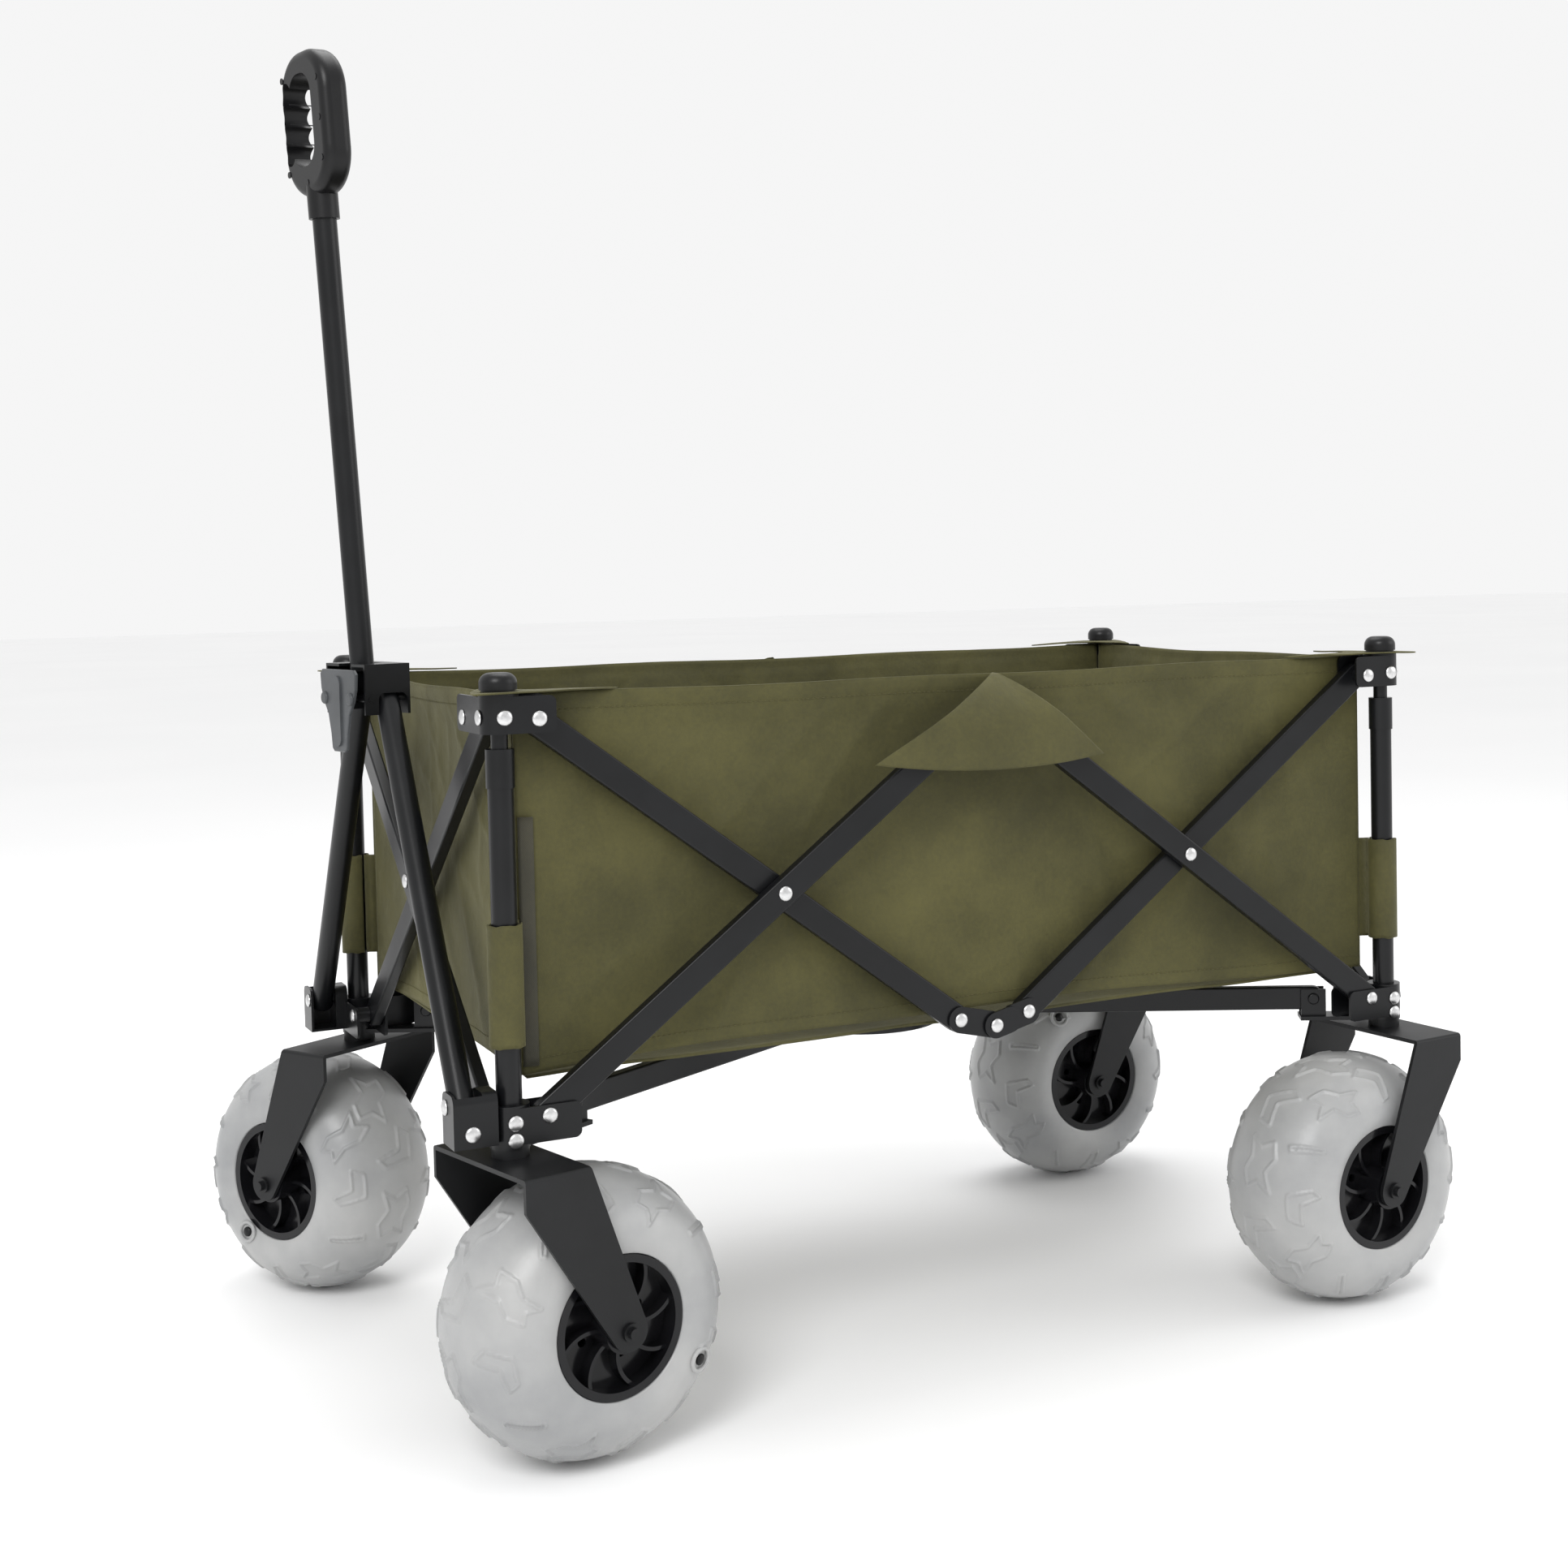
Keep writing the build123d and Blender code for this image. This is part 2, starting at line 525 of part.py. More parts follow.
def grip():
    """The closed oval grip with finger grooves and its socket on the shaft."""
    flat = Plane(origin=(0, 0, 0), x_dir=(0, 1, 0), z_dir=(1, 0, 0))
    centre = GRIP_TOP - GRIP_H / 2
    outer = Pos(0, centre) * RectangleRounded(GRIP_W, GRIP_H, 40)
    hole = Pos(2, centre + 3) * RectangleRounded(GRIP_W - 46, GRIP_H - 48, 20)
    loop = slab(flat, outer, GRIP_T)
    loop = fillet(loop.edges().filter_by(lambda e: e.length > 10), 9)
    loop -= slab(flat, hole, GRIP_T + 2)
    for row in range(4):
        loop -= slab(flat, Pos(32, centre - 24 + row * 18) * Circle(11), GRIP_T + 2)
    socket = rod((0, 0, SHAFT_L - 46), (0, 0, SHAFT_L - 14), 14)
    socket -= rod((0, 0, SHAFT_L - 47), (0, 0, SHAFT_L - 40), SHAFT_R)
    screws = [block_screw(y, centre + z) for y, z in ((-34, -36), (-35, 0), (-34, 36), (37, -42), (37, 44), (0, -54))]
    return apex(lean(group(loop + socket, *screws)))


def block_screw(y, z):
    """A small round screw head in the face of the grip."""
    return rod((-GRIP_T / 2 - 0.6, y, z), (-GRIP_T / 2 + 0.4, y, z), 3)


# ---------------------------------------------------------------- basket
def panel_with_sleeve(wall, strap, corner):
    """A wall of the basket with the sleeve that runs on its corner post."""
    sx, sy = CORNERS[corner]
    x, y = sx * POST_X, sy * POST_Y
    ring = tube((x, y, SLEEVE_Z0), (x, y, SLEEVE_Z1), SLEEVE_OUT, SLEEVE_IN)
    return wall + (strap - rod((x, y, SLEEVE_Z0), (x, y, SLEEVE_Z1), SLEEVE_IN + 0.4)) + ring


def basket():
    """Four walls and the two halves of the floor."""
    near = block((-PANEL_X, PANEL_X), (-PANEL_Y, CLOTH - PANEL_Y), (PANEL_Z0, PANEL_Z1))
    link = block((-465, -454), (-PANEL_Y - 8, -PANEL_Y), (SLEEVE_Z0, SLEEVE_Z1)) - block(
        (-461, -450), (-PANEL_Y - 8, -PANEL_Y - 3), (SLEEVE_Z0, SLEEVE_Z1))
    near = panel_with_sleeve(near, link, "nf")
    reach = PANEL_Y - CLOTH - SEAM
    front = block((-PANEL_X, CLOTH - PANEL_X), (-reach, reach), (PANEL_Z0, PANEL_Z1))
    link = block((-460.3, -PANEL_X - SEAM), (reach - 8, 269), (SLEEVE_Z0, SLEEVE_Z1))
    link += block((-460.3, -PANEL_X + 1), (reach - 8, reach), (SLEEVE_Z0, SLEEVE_Z1))
    front = panel_with_sleeve(front, link, "ff")
    turned = Rot(0, 0, 180)
    floor = block((-FLOOR_X, FLOOR_X), (-FLOOR_Y, -SEAM), (FLOOR_Z, FLOOR_Z + CLOTH))
    return {"panel_near": near, "panel_far": turned * near, "panel_front": front, "panel_back": turned * front,
            "floor_near": floor, "floor_far": turned * floor}


# ---------------------------------------------------------------- whole cart
def build():
    """Every node of the cart, laid out about the middle of its posts."""
    nodes = {}
    for corner in CORNERS:
        nodes["lower_bracket_" + corner] = lower_bracket(corner)
        nodes["upper_bracket_" + corner] = upper_bracket(corner)
        nodes["post_" + corner] = post(corner)
        nodes["cap_" + corner] = cap(corner)
        nodes["fork_" + corner] = fork(corner)
        nodes["hub_" + corner] = wheel_hub(corner)
        nodes["tyre_" + corner] = tyre(corner)
        nodes["spider_bar_" + corner] = spider_bar(corner)
    nodes.update(side_arms("n", -1))
    nodes.update(side_arms("f", 1))
    nodes.update(end_arms("f", -1))
    nodes.update(end_arms("b", 1))
    nodes["spider_hub"] = spider_hub()
    nodes["leg_near"] = leg(-1)
    nodes["leg_far"] = leg(1)
    nodes["apex_hood"] = apex_hood()
    nodes["shield"] = shield()
    nodes["handle_shaft"] = handle_shaft()
    nodes["grip"] = grip()
    nodes.update(basket())
    return nodes


def origin_shift(nodes):
    """The move that puts the bottom centre of the bounding box at the origin."""
    boxes = [shape.bounding_box() for shape in nodes.values()]
    x = (min(b.min.X for b in boxes) + max(b.max.X for b in boxes)) / 2
    y = (min(b.min.Y for b in boxes) + max(b.max.Y for b in boxes)) / 2
    z = min(b.min.Z for b in boxes)
    return Vector(-x, -y, -z)


def main():
    """Build every node and write it to its file."""
    os.makedirs("parts", exist_ok=True)
    nodes = build()
    shift = origin_shift(nodes)
    for name, shape in nodes.items():
        export_step(Pos(*shift) * shape, "parts/" + name + ".step")
    print(len(nodes), "nodes, moved by", [round(v, 3) for v in shift])


if __name__ == "__main__":
    main()
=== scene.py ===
"""Looks for the folding beach cart: cloth, balloon tyres, rivets, materials, floor, lights and camera."""
import math

import bpy
import numpy as np
from mathutils import Matrix, Vector, noise


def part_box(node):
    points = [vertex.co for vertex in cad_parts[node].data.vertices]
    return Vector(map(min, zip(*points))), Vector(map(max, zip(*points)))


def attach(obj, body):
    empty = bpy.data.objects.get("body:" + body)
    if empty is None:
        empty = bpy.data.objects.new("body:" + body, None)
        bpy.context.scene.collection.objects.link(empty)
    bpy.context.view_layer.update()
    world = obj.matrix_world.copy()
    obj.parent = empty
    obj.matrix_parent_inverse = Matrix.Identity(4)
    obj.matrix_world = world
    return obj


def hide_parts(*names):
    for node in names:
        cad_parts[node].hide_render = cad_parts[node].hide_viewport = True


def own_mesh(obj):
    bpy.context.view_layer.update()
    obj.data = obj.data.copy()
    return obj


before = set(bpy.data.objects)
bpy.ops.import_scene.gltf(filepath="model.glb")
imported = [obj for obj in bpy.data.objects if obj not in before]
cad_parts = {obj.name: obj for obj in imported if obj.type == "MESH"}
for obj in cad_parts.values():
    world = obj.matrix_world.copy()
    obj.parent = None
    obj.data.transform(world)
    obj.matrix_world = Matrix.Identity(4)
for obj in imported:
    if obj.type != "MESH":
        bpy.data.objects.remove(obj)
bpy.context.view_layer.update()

# ---- sizes, in millimetres about the middle of the posts
POST_X, POST_Y = 473.0, 272.0
SIDE_PIVOT = 443.0
Z_LOW, Z_UP, Z_MID = 309.0, 646.0, 477.5
X_PIVOT = 219.5
KNUCKLE_X = 37.0
WALL_X, WALL_Y = 457.0, 256.0
WALL_Z0, WALL_Z1 = 337.0, 666.0
FLOOR_X, FLOOR_Y, FLOOR_Z = 450.0, 250.0, 331.0
TRAIL, AXLE_Z, WHEEL_R, TYRE_HALF = 65.0, 127.0, 127.0, 69.0
BEAD_R = 62.3
YAWS = {"nf": 12.5, "nb": 185.0, "ff": 120.0, "fb": 182.0}
SIGNS = {"nf": (-1, -1), "nb": (1, -1), "ff": (-1, 1), "fb": (1, 1)}
TOPS = {"nf": "top_front_near", "nb": "top_rear_near", "ff": "top_front_far", "fb": "top_rear_far"}
CORNERS = {"nf": "corner_front_near", "nb": "corner_rear_near",
           "ff": "corner_front_far", "fb": "corner_rear_far"}
CLOTH_T = 1.4
MM = 0.001

hub_low, hub_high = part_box("spider_hub")
MID = np.array([(hub_low[0] + hub_high[0]) / 2, (hub_low[1] + hub_high[1]) / 2, 0.0])


def to_row(points):
    """Points in millimetres about the middle of the posts, as metres in the row frame."""
    return np.asarray(points, float) * MM + MID


def row(x, y, z):
    """One such point as a tuple."""
    return tuple(float(v) for v in to_row((x, y, z)))


# ---------------------------------------------------------------- mesh helpers
def mesh_object(name, points, faces, material, smooth=True):
    """A mesh piece from points in millimetres."""
    data = bpy.data.meshes.new(name)
    data.from_pydata([tuple(p) for p in to_row(points)], [], [tuple(int(i) for i in f) for f in faces])
    data.validate()
    data.update()
    data.materials.append(material)
    if smooth:
        data.shade_smooth()
    piece = bpy.data.objects.new(name, data)
    bpy.context.scene.collection.objects.link(piece)
    return piece


def grid_faces(rows, cols, start=0, flip=False, wrap_cols=False):
    """Quads over a grid of points."""
    faces = []
    for i in range(rows - 1):
        for j in range(cols if wrap_cols else cols - 1):
            k = (j + 1) % cols
            here, above = start + i * cols, start + (i + 1) * cols
            quad = [here + j, here + k, above + k, above + j]
            faces.append(quad[::-1] if flip else quad)
    return faces


def grid_normals(grid):
    """Unit normals of a grid of points."""
    du = np.gradient(grid, axis=0)
    dv = np.gradient(grid, axis=1)
    normal = np.cross(dv, du)
    return normal / np.maximum(np.linalg.norm(normal, axis=2, keepdims=True), 1e-9)


def shell(name, grid, thickness, material):
    """A closed thin cloth from a grid of points: two faces and the rim between them."""
    rows, cols = grid.shape[:2]
    back = grid + grid_normals(grid) * thickness
    points = np.concatenate([grid.reshape(-1, 3), back.reshape(-1, 3)])
    count = rows * cols
    faces = grid_faces(rows, cols) + grid_faces(rows, cols, count, flip=True)
    rim = [(0, j) for j in range(cols)] + [(i, cols - 1) for i in range(1, rows)]
    rim += [(rows - 1, j) for j in range(cols - 2, -1, -1)] + [(i, 0) for i in range(rows - 2, 0, -1)]
    loop = [i * cols + j for i, j in rim]
    for a, b in zip(loop, loop[1:] + loop[:1]):
        faces.append([b, a, a + count, b + count])
    return mesh_object(name, points, faces, material)


def merge(name, parts, material, smooth=True):
    """One piece from several (points, faces) pairs."""
    points, faces, start = [], [], 0
    for some_points, some_faces in parts:
        points.append(np.asarray(some_points, float))
        faces += [[i + start for i in f] for f in some_faces]
        start += len(some_points)
    return mesh_object(name, np.concatenate(points), faces, material, smooth)


def dome(centre, out, radius, height, sides=20, rings=6):
    """A low dome on a round foot, at centre, standing out along out."""
    out = Vector(out).normalized()
    turn = out.to_track_quat("Z", "Y").to_matrix()
    points = []
    for i in range(rings):
        angle = math.pi / 2 * i / (rings - 1)
        r = radius * math.cos(angle) if i < rings - 1 else 0.02
        z = height * (0.25 + 0.75 * math.sin(angle))
        for s in range(sides):
            turned = 2 * math.pi * s / sides
            points.append((r * math.cos(turned), r * math.sin(turned), z))
    points = [(p[0], p[1], 0.0) for p in points[:sides]] + points
    rows = rings + 1
    faces = grid_faces(rows, sides, wrap_cols=True)
    faces.append(list(range(sides))[::-1])
    faces.append([(rows - 1) * sides + s for s in range(sides)])
    world = [tuple(Vector(centre) + turn @ Vector(p)) for p in points]
    return world, faces


def bump_noise(x, y, z=0.0):
    """Smooth noise at a point."""
    return noise.noise(Vector((x, y, z)))


# ---------------------------------------------------------------- materials
def new_material(name):
    """An empty node material with its Principled shader."""
    material = bpy.data.materials.new(name)
    material.use_nodes = True
    tree = material.node_tree
    return material, tree.nodes, tree.links, tree.nodes["Principled BSDF"]


def add_node(nodes, kind, **values):
    """A node with some of its inputs or properties set."""
    node = nodes.new(kind)
    for key, value in values.items():
        if key in node.inputs:
            node.inputs[key].default_value = value
        else:
            setattr(node, key, value)
    return node


def scaled_noise(nodes, links, scale, detail=4.0, rough=0.55):
    """Noise over the object's own coordinates."""
    place = nodes.new("ShaderNodeTexCoord")
    texture = add_node(nodes, "ShaderNodeTexNoise", Scale=scale, Detail=detail, Roughness=rough)
    links.new(place.outputs["Object"], texture.inputs["Vector"])
    return texture


def ramp(nodes, links, source, low, high, at=(0.3, 0.7)):
    """A two-colour ramp driven by a value."""
    node = nodes.new("ShaderNodeValToRGB")
    node.color_ramp.elements[0].position, node.color_ramp.elements[1].position = at
    node.color_ramp.elements[0].color = (*low, 1)
    node.color_ramp.elements[1].color = (*high, 1)
    links.new(source, node.inputs["Fac"])
    return node


def mix_value(nodes, links, source, low, high):
    """A number that runs from low to high with a value."""
    node = add_node(nodes, "ShaderNodeMapRange")
    node.inputs["To Min"].default_value = low
    node.inputs["To Max"].default_value = high
    links.new(source, node.inputs["Value"])
    return node.outputs["Result"]


def bump(nodes, links, height, shader, strength, distance, below=None):
    """A bump on the shader's normal."""
    node = add_node(nodes, "ShaderNodeBump", Strength=strength, Distance=distance)
    links.new(height, node.inputs["Height"])
    if below is not None:
        links.new(below.outputs["Normal"], node.inputs["Normal"])
    links.new(node.outputs["Normal"], shader.inputs["Normal"])
    return node


def weave_material(name, low, high, axes, thread=0.00085):
    """Woven polyester: two crossing sets of threads, with wide dark blotches of painted shade for the
    wrinkles' shading, and a soft sheen.
    """
    material, nodes, links, shader = new_material(name)
    place = nodes.new("ShaderNodeTexCoord")
    split = nodes.new("ShaderNodeSeparateXYZ")
    links.new(place.outputs["Object"], split.inputs["Vector"])
    waves = []
    for axis in axes:
        turn = add_node(nodes, "ShaderNodeMath", operation="MULTIPLY")
        turn.inputs[1].default_value = 2 * math.pi / thread
        links.new(split.outputs[axis], turn.inputs[0])
        wave = add_node(nodes, "ShaderNodeMath", operation="SINE")
        links.new(turn.outputs[0], wave.inputs[0])
        waves.append(wave)
    cross = add_node(nodes, "ShaderNodeMath", operation="MULTIPLY")
    links.new(waves[0].outputs[0], cross.inputs[0])
    links.new(waves[1].outputs[0], cross.inputs[1])
    # wide noise blotches darken the colour: painted shade standing in for the shading of the cloth's
    # wrinkles
    painted_shade_blotch = scaled_noise(nodes, links, 9.0, 5.0)
    fine = scaled_noise(nodes, links, 260.0, 3.0)
    blend = add_node(nodes, "ShaderNodeMath", operation="MULTIPLY_ADD")
    links.new(fine.outputs["Fac"], blend.inputs[0])
    blend.inputs[1].default_value = 0.35
    links.new(painted_shade_blotch.outputs["Fac"], blend.inputs[2])
    weave_and_shade = add_node(nodes, "ShaderNodeMath", operation="MULTIPLY_ADD")
    links.new(cross.outputs[0], weave_and_shade.inputs[0])
    weave_and_shade.inputs[1].default_value = 0.22
    links.new(blend.outputs[0], weave_and_shade.inputs[2])
    colour = ramp(nodes, links, weave_and_shade.outputs[0], low, high, at=(0.42, 1.0))
    links.new(colour.outputs["Color"], shader.inputs["Base Color"])
    links.new(mix_value(nodes, links, fine.outputs["Fac"], 0.62, 0.82), shader.inputs["Roughness"])
    shader.inputs["Sheen Weight"].default_value = 0.18
    shader.inputs["Sheen Roughness"].default_value = 0.4
    shader.inputs["Sheen Tint"].default_value = (0.75, 0.72, 0.45, 1)
    shader.inputs["Specular IOR Level"].default_value = 0.35
    cloth = scaled_noise(nodes, links, 30.0, 5.0)
    folds = scaled_noise(nodes, links, 3.4, 2.0)
    folds.noise_type = "RIDGED_MULTIFRACTAL"
    deep = bump(nodes, links, folds.outputs["Fac"], shader, 0.8, 0.014)
    first = bump(nodes, links, cloth.outputs["Fac"], shader, 0.5, 0.004, deep)
    bump(nodes, links, cross.outputs[0], shader, 0.35, 0.00025, first)
    return material


def coat_material(name, base, rough=(0.34, 0.5), grain=900.0, strength=0.25):
    """Black powder coat: a fine orange peel with slightly uneven gloss."""
    material, nodes, links, shader = new_material(name)
    peel = scaled_noise(nodes, links, grain, 2.0)
    wide = scaled_noise(nodes, links, 14.0, 5.0)
    low = tuple(c * 0.75 for c in base)
    high = tuple(c * 1.35 for c in base)
    colour = ramp(nodes, links, wide.outputs["Fac"], low, high)
    links.new(colour.outputs["Color"], shader.inputs["Base Color"])
    links.new(mix_value(nodes, links, wide.outputs["Fac"], *rough), shader.inputs["Roughness"])
    shader.inputs["Specular IOR Level"].default_value = 0.28
    bump(nodes, links, peel.outputs["Fac"], shader, strength, 0.0002)
    return material


def metal_material(name, base, rough):
    """Zinc-plated steel of the rivet heads."""
    material, nodes, links, shader = new_material(name)
    wide = scaled_noise(nodes, links, 350.0, 4.0)
    colour = ramp(nodes, links, wide.outputs["Fac"], tuple(c * 0.8 for c in base), base)
    links.new(colour.outputs["Color"], shader.inputs["Base Color"])
    links.new(mix_value(nodes, links, wide.outputs["Fac"], rough, rough + 0.15), shader.inputs["Roughness"])
    shader.inputs["Metallic"].default_value = 1.0
    bump(nodes, links, wide.outputs["Fac"], shader, 0.2, 0.0002)
    return material


def tyre_material():
    """Cloudy grey blown polymer that lets a little light in."""
    material, nodes, links, shader = new_material("tyre_polymer")
    cloud = scaled_noise(nodes, links, 8.0, 5.0)
    speck = scaled_noise(nodes, links, 420.0, 2.0)
    colour = ramp(nodes, links, cloud.outputs["Fac"], (0.27, 0.275, 0.28), (0.41, 0.41, 0.405))
    links.new(colour.outputs["Color"], shader.inputs["Base Color"])
    links.new(mix_value(nodes, links, speck.outputs["Fac"], 0.3, 0.5), shader.inputs["Roughness"])
    shader.inputs["Subsurface Weight"].default_value = 0.35
    shader.inputs["Subsurface Radius"].default_value = (0.02, 0.02, 0.02)
    shader.inputs["Coat Weight"].default_value = 0.12
    shader.inputs["Coat Roughness"].default_value = 0.25
    bump(nodes, links, speck.outputs["Fac"], shader, 0.18, 0.0004)
    return material


OLIVE_LOW, OLIVE_HIGH = (0.034, 0.032, 0.009), (0.094, 0.086, 0.026)
cloth_side = weave_material("cloth_side", OLIVE_LOW, OLIVE_HIGH, ("X", "Z"))
cloth_end = weave_material("cloth_end", OLIVE_LOW, OLIVE_HIGH, ("Y", "Z"))
cloth_flat = weave_material("cloth_flat", OLIVE_LOW, OLIVE_HIGH, ("X", "Y"))
# near-black cloth, used only for the painted shade strip at the near wall's front corner
painted_shade_cloth = weave_material("painted_shade_cloth", (0.028, 0.028, 0.02), (0.06, 0.055, 0.035), ("X", "Z"), 0.0016)
thread_mat = weave_material("stitch_thread", (0.05, 0.045, 0.015), (0.10, 0.09, 0.03), ("X", "Y"), 0.0006)
coat = coat_material("black_coat", (0.0045, 0.0048, 0.0055), (0.24, 0.38))
fork_coat = coat_material("fork_coat", (0.0065, 0.0068, 0.0075), (0.36, 0.5), 700.0, 0.35)
grey_coat = coat_material("grey_coat", (0.062, 0.066, 0.070), (0.3, 0.45), 600.0, 0.2)
gloss = coat_material("hub_gloss", (0.006, 0.006, 0.007), (0.12, 0.22), 200.0, 0.06)
moulded = coat_material("moulded_black", (0.005, 0.005, 0.0055), (0.28, 0.42), 1200.0, 0.3)
zinc = metal_material("zinc", (0.70, 0.70, 0.70), 0.24)
polymer = tyre_material()

NODE_LOOKS = (("hub_", gloss), ("cap_", moulded), ("grip", moulded),
              ("shield", grey_coat), ("fork_", fork_coat))
for name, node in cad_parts.items():
    look = coat
    for start, material in NODE_LOOKS:
        if name.startswith(start):
            look = material
    node.data.materials.clear()
    node.data.materials.append(look)


# ---------------------------------------------------------------- basket walls
def crease(a, b, seed):
    """How deep the cloth's wrinkles are at a point of a wall, from 0 to 1."""
    soft = 0.5 + 0.5 * bump_noise(a * 0.0042, b * 0.0068, seed)
    along = bump_noise((a + b) * 0.003, (a - b) * 0.010, seed + 5)
    other = bump_noise((a - b) * 0.0028, (a + b) * 0.007, seed + 9)
    sharp = (1 - abs(along)) ** 5 * 0.8 + (1 - abs(other)) ** 6 * 0.6
    pleat = (1 - abs(bump_noise(a * 0.016 + b * 0.004, b * 0.0016, seed + 13))) ** 6
    return 0.6 * soft + 0.40 * (1 - sharp) - 0.18 * pleat + 0.06 * bump_noise(a * 0.02, b * 0.02, seed + 20)


def wall_grid(half, seed, low_edge, high_edge, depth, cols, rows=84):
    """A wall as (along, up, in) in mm: wrinkled between a tight hem above and a tight seam below."""
    grid = np.zeros((rows, cols, 3))
    for i in range(rows):
        v = i / (rows - 1)
        for j in range(cols):
            u = -1 + 2 * j / (cols - 1)
            along = u * half
            low, high = low_edge(u), high_edge(u)
            up = low + (high - low) * v
            hold = (1 - abs(u) ** 8) * min(1, (1 - v) * 9) * min(1, v * 7 + 0.25)
            sink = depth * crease(along, up, seed) * hold
            sink += 5.0 * hold * math.sin(math.pi * v) * (1 - u * u)
            hem = 0.9 if (1 - v) * (high - low) < 15 else 0.0
            grid[i, j] = (along, up, sink + 1.0 - hem)
    return grid


def side_wall(name, sign, seed, body):
    """A long wall. Its outer face looks along sign Y."""
    def low_edge(u):
        return WALL_Z0 + 9 * (1 - u * u) - 5 * u * (-sign) * 0.4 + 1.5 * math.sin(7 * u)

    def high_edge(u):
        return WALL_Z1 - 1.5 * math.sin(math.pi * (u + 1) / 2) + 0.8 * math.sin(9 * u + seed)
    flat = wall_grid(WALL_X - 1, seed, low_edge, high_edge, 11.0, 230)
    grid = np.zeros_like(flat)
    grid[..., 0] = flat[..., 0]
    grid[..., 1] = sign * (WALL_Y - flat[..., 2])
    grid[..., 2] = flat[..., 1]
    if sign > 0:
        grid = grid[:, ::-1]
    piece = shell(name, grid, -CLOTH_T, cloth_side)
    finish_cloth(piece, body)
    return piece, grid


def end_wall(name, sign, seed, body):
    """A short wall. Its outer face looks along sign X."""
    half = WALL_Y - 6

    def low_edge(u):
        return WALL_Z0 + 5 * (1 - u * u) + 1.2 * math.sin(5 * u)

    def high_edge(u):
        return WALL_Z1 - 2.5 * (1 - u * u) + 0.8 * math.sin(6 * u + seed)
    flat = wall_grid(half, seed, low_edge, high_edge, 9.0, 130)
    grid = np.zeros_like(flat)
    grid[..., 0] = sign * (WALL_X - flat[..., 2])
    grid[..., 1] = flat[..., 0]
    grid[..., 2] = flat[..., 1]
    if sign < 0:
        grid = grid[:, ::-1]
    piece = shell(name, grid, -CLOTH_T, cloth_end)
    finish_cloth(piece, body)
    return piece, grid


def finish_cloth(piece, body):
    """Cloth rides on a top corner, with a mesh of its own."""
    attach(piece, body)
    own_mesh(piece)


def stitch_row(name, grid, level, outward, material, body, step=5.2):
    """A row of thread stitches that follows a wall at a height, standing just proud of it."""
    path = grid[level]
    seg = np.linalg.norm(np.diff(path, axis=0), axis=1)
    along = np.concatenate([[0], np.cumsum(seg)])
    parts = []
    for k in range(int(along[-1] / step)):
        ends = []
        for at in (k * step, k * step + step * 0.72):
            ends.append([np.interp(at, along, path[:, c]) for c in range(3)])
        a, b = (np.array(e) + np.array(outward) * 0.3 for e in ends)
        way = (b - a) / np.linalg.norm(b - a)
        side = np.cross(way, outward)
        points = []
        for at, r in ((0.0, 0.12), (0.2, 0.42), (0.8, 0.42), (1.0, 0.12)):
            centre = a + (b - a) * at
            for s in range(6):
                t = 2 * math.pi * s / 6
                points.append(centre + side * r * math.cos(t) + np.array(outward) * r * math.sin(t))
        faces = grid_faces(4, 6, wrap_cols=True) + [[5, 4, 3, 2, 1, 0], [18, 19, 20, 21, 22, 23]]
        parts.append((points, faces))
    piece = merge(name, parts, material)
    finish_cloth(piece, body)
    return piece


for name, sign, seed, corner in (("near", -1, 3.0, "nf"), ("far", 1, 17.0, "fb")):
    piece, grid = side_wall("wall_" + name, sign, seed, TOPS[corner])
    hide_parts("panel_" + name)
    for level, tag in ((79, "hem"), (3, "foot")):
        stitch_row("stitch_%s_%s" % (tag, name), grid, level, (0, sign, 0), thread_mat, TOPS[corner])
for name, sign, seed, corner in (("front", -1, 29.0, "ff"), ("back", 1, 41.0, "nb")):
    piece, grid = end_wall("wall_" + name, sign, seed, TOPS[corner])
    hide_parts("panel_" + name)
    for level, tag in ((79, "hem"), (3, "foot")):
        stitch_row("stitch_%s_%s" % (tag, name), grid, level, (sign, 0, 0), thread_mat, TOPS[corner])


# ---------------------------------------------------------------- floor
def floor_half(name, sign, body):
    """Half of the padded floor: gently quilted, with a seam along the middle."""
    rows, cols = 60, 190
    grid = np.zeros((rows, cols, 3))
    for i in range(rows):
        v = i / (rows - 1)
        for j in range(cols):
            u = j / (cols - 1)
            x = -FLOOR_X + 2 * FLOOR_X * u
            y = sign * (0.5 + (FLOOR_Y - 1.5) * v)
            channel = min(abs(x - c) for c in (-225, 0, 225))
            puff = 2.4 * (1 - math.exp(-channel / 16)) * min(1, 6 * v) * min(1, 6 * (1 - v))
            sag = 1.6 * bump_noise(x * 0.01, y * 0.01, sign)
            grid[i, j] = (x, y, FLOOR_Z + 2.6 + puff + sag)
    if sign > 0:
        grid = grid[:, ::-1]
    piece = shell(name, grid, -2.4, cloth_flat)
    finish_cloth(piece, body)
    return piece


for name, sign, corner in (("near", -1, "nf"), ("far", 1, "fb")):
    piece = floor_half("floor_cloth_" + name, sign, TOPS[corner])
    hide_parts("floor_" + name)


# ---------------------------------------------------------------- sleeves, corner tabs, side flaps
def strap(name, path, z0, z1, thickness, material, body, wave=0.6, seed=1.0):
    """A band of cloth that follows a path seen from above."""
    path = np.array(path, float)
    rows, cols = 26, len(path)
    grid = np.zeros((rows, cols, 3))
    for i in range(rows):
        z = z0 + (z1 - z0) * i / (rows - 1)
        for j in range(cols):
            w = wave * bump_noise(z * 0.05, j * 0.35, seed)
            grid[i, j] = (path[j, 0] + w, path[j, 1] + w, z + 1.2 * bump_noise(j * 0.4, z0, seed))
    piece = shell(name, grid, thickness, material)
    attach(piece, body)
    return piece


